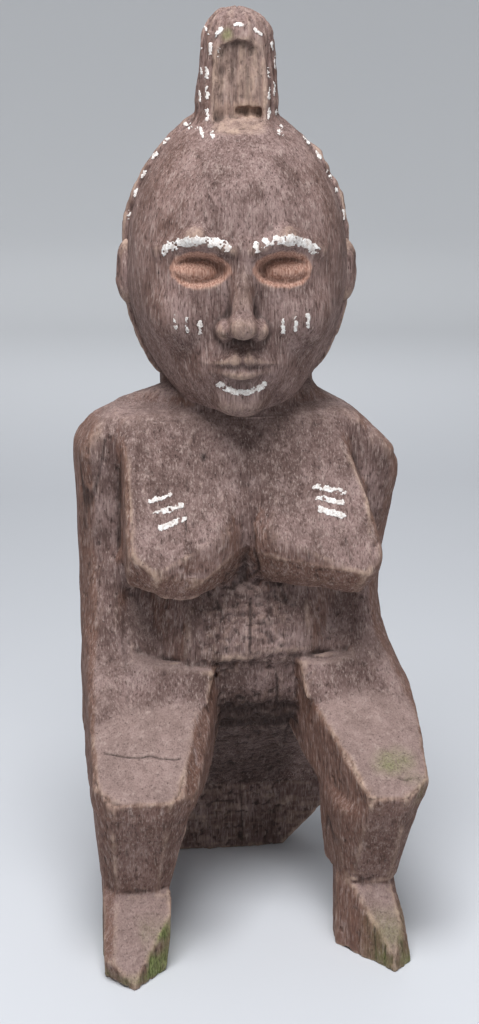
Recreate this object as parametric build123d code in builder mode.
"""Seated ancestor figure, adzed from one log and dressed with chalk-white pigment.

The frame: the floor is Z = 0, the figure faces -Y, and its own left hand is on the +X side. X and Y
are laid out from the log's heart; the finished pieces are moved so that their origin lies under the
middle of the whole figure. All the wood is one log, divided here along the carver's own breaks of
form: each part is a rough block with flat facets chopped off it, and it meets its neighbours face to
face on a shared seam.
"""

from build123d import *

import os
from math import atan2, cos, degrees, radians, sin

os.makedirs("parts", exist_ok=True)

# Driving dimensions, in millimetres.
figure_height = 700.0
head_centre_height = 515.0  # half way between the chin and the crown of the skull
skull_radius = 83.0
skull_half_height = 112.0
head_turn = -6.0  # degrees, the face looks a little towards the figure's right
middle_x = -7.0  # the trunk's own middle plane

# Seams between the parts, from the floor up.
ankle_seam = 57.0
stool_seam = 60.0
knee_seam = 120.0
rump_seam = 150.0
hip_seam = 212.0
waist_seam = 290.0
cap_seam = 372.0
neck_seam = 408.0
lap_seam = -40.0  # Y of the plane that the thighs and the breasts stand on
arm_seam = {"right": -100.0, "left": 84.0}  # X of the planes between trunk and arms
cleft_x = -9.0  # X of the plane where the breasts meet

film = 0.6  # thickness of the dried pigment
figure_middle = (-4.0, -11.5)  # X and Y of the middle of the whole figure, from the log's heart


def block(x, y, z):
    """Add a rough block between (low, high) limits on each axis to the part being built."""
    low, high = zip(x, y, z)
    with Locations(tuple((a + b) / 2 for a, b in zip(low, high))):
        Box(*(b - a for a, b in zip(low, high)))


def chop(heart, *cuts):
    """Chop flat facets off the part being built, each through three points, away from its heart."""
    for corner, second, third in cuts:
        normal = (Vector(second) - Vector(corner)).cross(Vector(third) - Vector(corner))
        if normal.dot(Vector(heart) - Vector(corner)) > 0:
            normal = normal * -1
        split(bisect_by=Plane(origin=corner, z_dir=normal), keep=Keep.BOTTOM)


def vertical(a, b):
    """Three points of the upright plane through two (x, y) points."""
    return (*a, 0), (*b, 0), (*a, 100)


def lengthwise(a, b):
    """Three points of the plane through two (x, z) points that runs along Y."""
    return (a[0], 0, a[1]), (b[0], 0, b[1]), (a[0], 100, a[1])


def crosswise(a, b):
    """Three points of the plane through two (y, z) points that runs along X."""
    return (0, *a), (0, *b), (100, *a)


def save(part, label):
    """Set one finished piece about the figure's middle, label it and write its STEP file."""
    placed = part.moved(Location((-figure_middle[0], -figure_middle[1], 0)))
    placed.label = label
    export_step(placed, f"parts/{label}.step")


# Head ------------------------------------------------------------------------------------------
# The head is shaped in its own frame, centred in the skull: x to its left, -y to its front.
head_frame = Plane(Location((middle_x, 0, head_centre_height), (0, 0, head_turn)))
crown_height = 97.0  # above the head's centre, where the topknot stands on the skull
hair_front = 3.0  # behind the head's centre, where the hair begins
hair_swell = 3.5  # how far the hair stands out from the skull
jaw_drop = 112.0  # chin line below the head's centre
jaw_slope = 17.8  # degrees, the jaw line rises towards the nape


def head_plane(y, z, direction_y, direction_z):
    """A plane in the head's frame through (0, y, z), facing along (0, direction_y, direction_z)."""
    origin = head_frame.from_local_coords(Vector(0, y, z))
    tip = head_frame.from_local_coords(Vector(0, y + direction_y, z + direction_z))
    across = head_frame.x_dir
    return Plane(origin=origin, x_dir=across, z_dir=tip - origin)


jaw_plane = head_plane(-72, -jaw_drop, sin(radians(jaw_slope)), -cos(radians(jaw_slope)))
crown_plane = head_plane(0, crown_height, 0, 1)
hairline_plane = head_plane(hair_front, 0, 1, 0)
head_profile_plane = Plane(head_frame.origin, x_dir=head_frame.x_dir, z_dir=-head_frame.y_dir)


def egg(radius, half_height, centre=(0, 0, 0)):
    """Add an egg, round about the head's upright axis, to the part being built."""
    middle = head_frame.from_local_coords(Vector(*centre))
    profile = Plane(middle, x_dir=head_frame.x_dir, z_dir=-head_frame.y_dir)
    with BuildPart(mode=Mode.PRIVATE) as solid:
        with BuildSketch(profile):
            Ellipse(radius, half_height)
            split(bisect_by=Plane.YZ, keep=Keep.TOP)
        revolve(axis=Axis(middle, head_frame.z_dir))
    add(solid.part)


brow_height = 22.0
eye_line = 0.0
nose_base = -44.0
mouth_height = -66.0
eye_spacing = 33.0  # a fifth of the width of the head, and the width of one eye
face_front = 76.0  # the flat of the face, in front of the head's centre

with BuildPart() as face:
    egg(skull_radius, skull_half_height)
    split(bisect_by=head_plane(-face_front, 0, -1, 0), keep=Keep.BOTTOM)
    # Chin and jaw.
    egg(50, 44, (0, -26, -70))
    # Nose: a wedge from between the brows down to its base.
    with BuildSketch(crown_plane.offset(brow_height - 6 - crown_height)):
        with Locations((0, -face_front + 4)):
            Rectangle(10, 10)
    with BuildSketch(crown_plane.offset(nose_base - crown_height)):
        with BuildLine():
            Polyline((-16, -72), (-11, -84), (0, -97), (11, -84), (16, -72), close=True)
        make_face()
    loft()
    # Lips: two flat ridges on either side of the mouth line.
    for lip_height, lip_width in ((mouth_height + 4, 50), (mouth_height - 5, 44)):
        with BuildSketch(head_profile_plane.offset(60)):
            with Locations((0, lip_height)):
                Ellipse(lip_width / 2, 4.6)
        extrude(amount=18)
    # Hollows under the brows, with the closed lids left standing in them.
    for side in (-1, 1):
        with BuildSketch(head_profile_plane.offset(70)):
            with Locations((side * eye_spacing, eye_line + 4)):
                Ellipse(22, 12)
        extrude(amount=30, mode=Mode.SUBTRACT)
        egg(13, 8, (side * eye_spacing, -62, eye_line))
    split(bisect_by=hairline_plane, keep=Keep.BOTTOM)
    split(bisect_by=crown_plane, keep=Keep.BOTTOM)
    split(bisect_by=jaw_plane, keep=Keep.BOTTOM)
save(face.part, "face")

with BuildPart() as hair:
    egg(skull_radius + hair_swell, skull_half_height + hair_swell)
    split(bisect_by=hairline_plane, keep=Keep.TOP)
    split(bisect_by=crown_plane, keep=Keep.BOTTOM)
    split(bisect_by=jaw_plane, keep=Keep.BOTTOM)
save(hair.part, "hair")

ear_height = 24.0
for side, sign in (("right", -1), ("left", 1)):
    with BuildPart() as ear:
        egg(11, ear_height, (sign * (skull_radius - 4), hair_front, -6))
        add(face.part, mode=Mode.SUBTRACT)
        add(hair.part, mode=Mode.SUBTRACT)
    save(ear.part, f"{side}_ear")

topknot_top = figure_height - head_centre_height
topknot_foot = 46.0
topknot_radius = 30.5
topknot_shoulder = 26.0
panel_half_width = 18.0
panel_depth = 5.0


def turned_topknot(swell=0.0):
    """The topknot's round form, a flared post with a domed top, swollen all over by a little."""
    foot, post, shoulder = topknot_foot + swell, topknot_radius + swell, topknot_shoulder + swell
    with BuildPart() as form:
        with BuildSketch(head_profile_plane):
            with BuildLine():
                Line((0, crown_height), (foot, crown_height))
                ThreePointArc((foot, crown_height), (34 + swell, 103), (post, 118))
                Line((post, 118), (shoulder, 162))
                ThreePointArc((shoulder, 162), (18.5 + swell, 179), (0, topknot_top + swell))
                Line((0, topknot_top + swell), (0, crown_height))
            make_face()
        revolve(axis=Axis(head_frame.origin, head_frame.z_dir))
    return form.part


with BuildPart() as topknot:
    add(turned_topknot())
    # The hood's sunken front panel, round at its top, with a deep notch at its foot.
    with BuildSketch(head_profile_plane.offset(topknot_shoulder - panel_depth)):
        with BuildLine():
            Polyline((-panel_half_width, 148), (-panel_half_width, 104), (panel_half_width, 104),
                     (panel_half_width, 148))
            ThreePointArc((panel_half_width, 148), (0, 162), (-panel_half_width, 148))
        make_face()
    extrude(amount=40, mode=Mode.SUBTRACT)
    with BuildSketch(head_profile_plane.offset(topknot_shoulder - 3 * panel_depth)):
        with Locations((8, 109)):
            Rectangle(18, 12)
    extrude(amount=40, mode=Mode.SUBTRACT)
save(topknot.part, "topknot")

# Neck and trunk --------------------------------------------------------------------------------
trunk = (arm_seam["right"], arm_seam["left"])
back = 58.0
shoulder_lines = [lengthwise((-62, 424), (-100, 411)), lengthwise((45, 423), (84, 401))]
shoulder_backs = [crosswise((back, 372), (12, 420))]

with BuildPart() as neck:
    block(trunk, (lap_seam, back), (neck_seam, 460))
    chop((middle_x, 0, neck_seam + 4), *shoulder_lines, *shoulder_backs, crosswise((lap_seam, 402), (-26, 424)))
    block((-62, 52), (-34, 54), (neck_seam, 460))
    chop((middle_x, 0, neck_seam + 4), vertical((-100, 10), (-34, -38)), vertical((84, 8), (26, -38)),
         vertical((-100, 20), (-34, 58)), vertical((84, 20), (26, 58)))
    split(bisect_by=jaw_plane, keep=Keep.TOP)
save(neck.part, "neck")

with BuildPart() as chest:
    block(trunk, (lap_seam, back), (waist_seam, neck_seam))
    chop((middle_x, 0, 340), *shoulder_lines, *shoulder_backs, crosswise((lap_seam, 402), (-26, 424)),
         vertical((middle_x, back), (-100, 46)), vertical((middle_x, back), (84, 46)))
save(chest.part, "chest")

with BuildPart() as belly:
    block(trunk, (-58, back), (hip_seam, waist_seam))
    chop((middle_x, 0, 250), crosswise((-48, waist_seam), (-57, 219)), crosswise((-57, 219), (-48, hip_seam)),
         ((-48, -48, waist_seam), (-56, -56, 222), (-100, -26, 250)),
         ((38, -48, waist_seam), (40, -56, 222), (84, -22, 250)),
         crosswise((46, waist_seam), (54, hip_seam)), vertical((middle_x, 54), (-100, 40)),
         vertical((middle_x, 54), (84, 40)))
save(belly.part, "belly")

hip_outer = {"right": -131.0, "left": 124.0}
crotch = (-15.0, rump_seam)  # Y and Z of the lowest line between the thighs
groin = crosswise((lap_seam, hip_seam), crotch)  # where the thighs leave the pelvis

with BuildPart() as pelvis:
    block((hip_outer["right"], hip_outer["left"]), (lap_seam, 100), (rump_seam, hip_seam))
    chop((middle_x, 20, 180), lengthwise((113, hip_seam), (124, 180)), crosswise((60, hip_seam), (98, 158)),
         vertical((-131, 8), (-84, 100)), vertical((124, 20), (76, 100)), groin)
save(pelvis.part, "pelvis")

with BuildPart() as buttocks:
    with BuildSketch(Plane.YZ.offset(hip_outer["right"] + 3)):
        with BuildLine():
            Polyline(crotch, (100, rump_seam), (126, 118), (130, 80), (122, stool_seam),
                     (77, stool_seam), (70, 74), close=True)
        make_face()
    extrude(amount=hip_outer["left"] - hip_outer["right"] - 6)
    chop((middle_x, 60, 110), vertical((-131, 8), (-80, 132)), vertical((124, 20), (72, 132)),
         lengthwise((-128, 118), (-96, stool_seam)), lengthwise((121, 118), (92, stool_seam)))
save(buttocks.part, "buttocks")

with BuildPart() as stool:
    block((-96, 92), (77, 134), (0, stool_seam))
    chop((middle_x, 100, 40), crosswise((77, stool_seam), (81, 0)), crosswise((122, stool_seam), (134, 20)),
         lengthwise((-92, 38), (-60, 0)), lengthwise((79, 35), (45, 0)), vertical((-96, 100), (-62, 134)),
         vertical((92, 96), (52, 134)))
save(stool.part, "stool")

# Breasts ---------------------------------------------------------------------------------------
# Each is a wedge: one broad facet falls forward from the shoulder, and short facets turn under it.
breast_top = 402.0
breast_fall = 24.4  # degrees, between the broad facet and the upright
breast_plane = Plane(
    origin=(0, lap_seam - 2, breast_top),
    x_dir=(1, 0, 0),
    z_dir=(0, -cos(radians(breast_fall)), sin(radians(breast_fall))),
)
cleft_top = 336.0  # where the breasts part from each other

with BuildPart() as right_breast:
    block((arm_seam["right"], cleft_x), (-98, lap_seam), (268, breast_top))
    split(bisect_by=breast_plane, keep=Keep.BOTTOM)
    chop((-56, -45, 310),
         ((-104, -81, 316), (-81, -89, 298), (-96, -68, 281)),
         ((-81, -89, 298), (-26, -78, 322), (-50, -80, 289)),
         lengthwise((-9, cleft_top), (-21, 285)),
         ((-78, -85, 291), (-50, -80, 289), (-77, -74, 277)),
         ((-50, -80, 289), (-19, -68, 288), (-53, -74, 276)),
         crosswise((-84, 276), (-48, waist_seam)))
save(right_breast.part, "right_breast")

with BuildPart() as left_breast:
    block((cleft_x, arm_seam["left"] + 11), (-98, lap_seam), (266, breast_top))
    split(bisect_by=breast_plane, keep=Keep.BOTTOM)
    chop((40, -45, 310),
         ((71, -54, 375), (94, -87, 302), (90, -40, 330)),
         ((-1, -78, 323), (79, -92, 292), (22, -77, 272)),
         lengthwise((-9, cleft_top), (4, 284)),
         ((79, -92, 292), (91, -87, 301), (80, -76, 272)),
         ((28, -82, 286), (64, -92, 281), (33, -72, 270)),
         ((3, -74, 288), (28, -80, 286), (8, -62, 275)),
         crosswise((-84, 269), (-48, waist_seam)))
save(left_breast.part, "left_breast")

# Shoulders and arms ----------------------------------------------------------------------------
with BuildPart() as right_shoulder:
    block((-132, arm_seam["right"]), (lap_seam, 46), (cap_seam, 412))
    chop((-112, 0, 380), lengthwise((-100, 411), (-117, 402)), lengthwise((-117, 402), (-129, 384)),
         crosswise((lap_seam, 394), (-26, 412)), crosswise((46, 376), (6, 412)),
         vertical((-124, lap_seam), (-132, -26)), vertical((-120, 46), (-132, 26)))
save(right_shoulder.part, "right_shoulder")

with BuildPart() as left_shoulder:
    block((arm_seam["left"], 117), (lap_seam, 46), (cap_seam, 402))
    chop((92, 0, 380), lengthwise((84, 401), (100, 386)), lengthwise((100, 386), (117, 366)),
         crosswise((lap_seam, 386), (-26, 402)), crosswise((46, 374), (6, 402)),
         vertical((104, lap_seam), (117, -22)), vertical((102, 46), (117, 26)))
save(left_shoulder.part, "left_shoulder")

arm_front = -28.0
arm_back = 40.0
arm_outlines = {
    "right": [(-131.5, cap_seam), (-132, 362), (-130, 262), (-128, hip_seam)],
    "left": [(112, cap_seam), (117, 360), (115, 317), (109, 262), (103, 236), (113, hip_seam)],
}
arm_edges = {"right": (-120, -132), "left": (100, 115)}  # where the outer facets leave front and side

for side, outline in arm_outlines.items():
    front_edge, outer_edge = arm_edges[side]
    with BuildPart() as arm:
        with BuildSketch(Plane.XZ.offset(-arm_back)):
            with BuildLine():
                Polyline((arm_seam[side], cap_seam), *outline, (arm_seam[side], hip_seam), close=True)
            make_face()
        extrude(amount=arm_back - arm_front)
        chop(((arm_seam[side] + front_edge) / 2, 0, 300), vertical((front_edge, arm_front), (outer_edge, -6)),
             vertical((front_edge, arm_back), (outer_edge, 22)))
    save(arm.part, f"{side}_arm")

# Legs ------------------------------------------------------------------------------------------
# Corners run from the outer side round the front to the inner side, as (x, y) at each height.
knee_height = 137.0
legs = {
    "right": {
        "knee": [(-131, -112), (-120, -131), (-76, -134), (-56, -118)],
        "ankle": [(-124, -96), (-115, -108), (-84, -110), (-74, -98)],
        "lap": [(-128, lap_seam, 208), (-60, lap_seam, 214)],
        "crotch": (-18, crotch[0]),
        "inner_edge": [(-34, lap_seam, 212), (-70, -134, 137), (-27, lap_seam, 196)],
        "underside": [(-27, lap_seam, 176), (-56, -118, 140), (-31, lap_seam, 142)],
        "toe": [(-127, -136, 17), (-111, -148, 14), (-80, -127, 36)],
        "sole": [(-123, -134), (-107, -156), (-80, -127)],
        "calf": [(-127, -60), (-62, -60)],
        "heel": [(-122, -60), (-78, -60)],
    },
    "left": {
        "knee": [(118, -126), (98, -150), (71, -147), (52, -120)],
        "ankle": [(99, -104), (93, -118), (64, -116), (56, -92)],
        "lap": [(120, lap_seam, 196), (62, lap_seam, 208)],
        "crotch": (26, crotch[0]),
        "inner_edge": [(30, lap_seam, 204), (70, -147, 137), (33, lap_seam, 176)],
        "underside": [(34, lap_seam, 176), (52, -120, 140), (37, lap_seam, 142)],
        "toe": [(103, -138, 19), (86, -151, 17), (66, -121, 47)],
        "sole": [(107, -137), (89, -157), (54, -104)],
        "calf": [(112, -62), (48, -62)],
        "heel": [(102, -62), (60, -62)],
    },
}


def at(height, corners):
    """The (x, y) corners as points at one height."""
    return [(x, y, height) for x, y in corners]


for side, leg in legs.items():
    outer, front_outer, front_inner, inner = at(knee_height, leg["knee"])
    ankle_outer, ankle_front_outer, ankle_front_inner, ankle_inner = at(ankle_seam, leg["ankle"])
    calf_outer, calf_inner = at(100, leg["calf"])
    heel_outer, heel_inner = at(10, leg["heel"])
    across = sorted((hip_outer[side], leg["crotch"][0]))
    heart = ((outer[0] + inner[0]) / 2, -90, 90)
    leg_front = [
        (front_outer, front_inner, ankle_front_inner),
        (outer, front_outer, ankle_front_outer),
        (front_inner, inner, ankle_front_inner),
    ]

    with BuildPart() as thigh:
        block(across, (-152, crotch[0]), (knee_seam, hip_seam))
        chop(((outer[0] + inner[0]) / 2, -100, 128), *leg_front,
             (front_outer, front_inner, leg["lap"][1]), (front_outer, leg["lap"][0], leg["lap"][1]),
             vertical(leg["crotch"], inner[:2]), leg["inner_edge"], leg["underside"],
             vertical((hip_outer[side], lap_seam), outer[:2]), crosswise((-62, knee_seam), crotch), groin)
    save(thigh.part, f"{side}_thigh")

    with BuildPart() as shin:
        block(across, (-152, -60), (ankle_seam, knee_seam))
        chop(heart, *leg_front, (inner, ankle_inner, calf_inner),
             (outer, ankle_outer, calf_outer), crosswise((-60, knee_seam), (-64, 80)))
    save(shin.part, f"{side}_shin")

    toe_outer, toe_front, toe_inner = leg["toe"]
    sole_outer, sole_front, sole_inner = at(0, leg["sole"])
    with BuildPart() as foot:
        block(across, (-158, -60), (0, ankle_seam))
        chop((heart[0], -85, 15), (ankle_front_outer, ankle_front_inner, toe_front),
             (ankle_outer, ankle_front_outer, toe_outer),
             (sole_front, sole_inner, toe_inner), (sole_outer, sole_front, toe_outer),
             (ankle_inner, sole_inner, heel_inner),
             (ankle_outer, toe_outer, heel_outer))
    save(foot.part, f"{side}_foot")

# Pigment ---------------------------------------------------------------------------------------
# Chalk-white strokes dried on the wood. Each lies on the surface that it was painted on.


def stroke(length, width, angle, x, y):
    """One brush stroke with round ends, in the sketch being made."""
    with Locations((x, y)):
        SlotOverall(length, width, rotation=angle)


def curved_stroke(start, middle, end, width):
    """One brush stroke along an arc, in the sketch being made."""
    with BuildLine(mode=Mode.PRIVATE) as path:
        ThreePointArc(start, middle, end)
    SlotArc(path.edge(), width)


face_skin = face.part.moved(Location(head_profile_plane.z_dir * film)) - face.part
brow_width = 7.0
cheek_stroke = (12.0, 3.2)  # length and width

for side, sign in (("right", -1), ("left", 1)):
    with BuildPart() as brow_pigment:
        with BuildSketch(head_profile_plane):
            curved_stroke((sign * 11, 20), (sign * 33, 24.5), (sign * 54, 16), brow_width)
        extrude(amount=100)
        add(face_skin, mode=Mode.INTERSECT)
    save(brow_pigment.part, f"{side}_brow_pigment")

    with BuildPart() as cheek_pigment:
        with BuildSketch(head_profile_plane):
            for number in range(3):
                stroke(*cheek_stroke, 90, sign * (30 + 9 * number), nose_base + 6 + 2 * number)
        extrude(amount=100)
        add(face_skin, mode=Mode.INTERSECT)
    save(cheek_pigment.part, f"{side}_cheek_pigment")

with BuildPart() as chin_pigment:
    with BuildSketch(head_profile_plane):
        curved_stroke((-16, -80), (0, -85), (16, -80), 5)
    extrude(amount=100)
    add(face_skin, mode=Mode.INTERSECT)
save(chin_pigment.part, "chin_pigment")

# Three strokes on each breast, as (length, width, angle, x, distance down the broad facet).
breast_strokes = {
    "right": [(19, 3.6, 16, -74, 57), (24, 4.2, 17, -69, 66), (24, 4.6, 20, -66, 76)],
    "left": [(27, 4.4, -12, 53, 55), (23, 3.8, -12, 53, 63), (24, 5.0, -18, 52, 72)],
}

for side, strokes in breast_strokes.items():
    with BuildPart() as breast_marks:
        with BuildSketch(breast_plane):
            for length, width, angle, x, down in strokes:
                stroke(length, width, angle, x, -down)
        extrude(amount=film)
    save(breast_marks.part, f"{side}_breast_marks")

# Dabs along the front rim of the hair, a few degrees apart from above the ears to the topknot.
rim_radius = skull_radius + hair_swell / 2
rim_half_height = skull_half_height + hair_swell / 2

with BuildPart() as hairline_dabs:
    with BuildSketch(head_profile_plane.offset(-hair_front)):
        for turn in (18, 27, 35, 44, 52):
            x = rim_radius * cos(radians(turn))
            z = rim_half_height * sin(radians(turn))
            lean = degrees(atan2(rim_half_height * cos(radians(turn)), rim_radius * sin(radians(turn))))
            stroke(8, 2.6, -lean, x, z)
            stroke(8, 2.6, lean, -x, z)
    extrude(amount=film)
save(hairline_dabs.part, "hairline_dabs")

rim_x = panel_half_width + 4.5  # the middle of the rims on either side of the sunken panel

with BuildPart() as topknot_dabs:
    with BuildSketch(head_profile_plane):
        for sign in (-1, 1):
            for z in (110, 125, 139):
                stroke(9, 2.8, 90, sign * rim_x, z)
            stroke(8, 3.2, sign * -40, sign * 14, 168)
            stroke(8, 3.6, sign * 30, sign * 33, 101.5)
        stroke(9, 3.0, 0, 0, 173)
    extrude(amount=100)
    add(turned_topknot(film), mode=Mode.INTERSECT)
    add(topknot.part, mode=Mode.SUBTRACT)
save(topknot_dabs.part, "topknot_dabs")
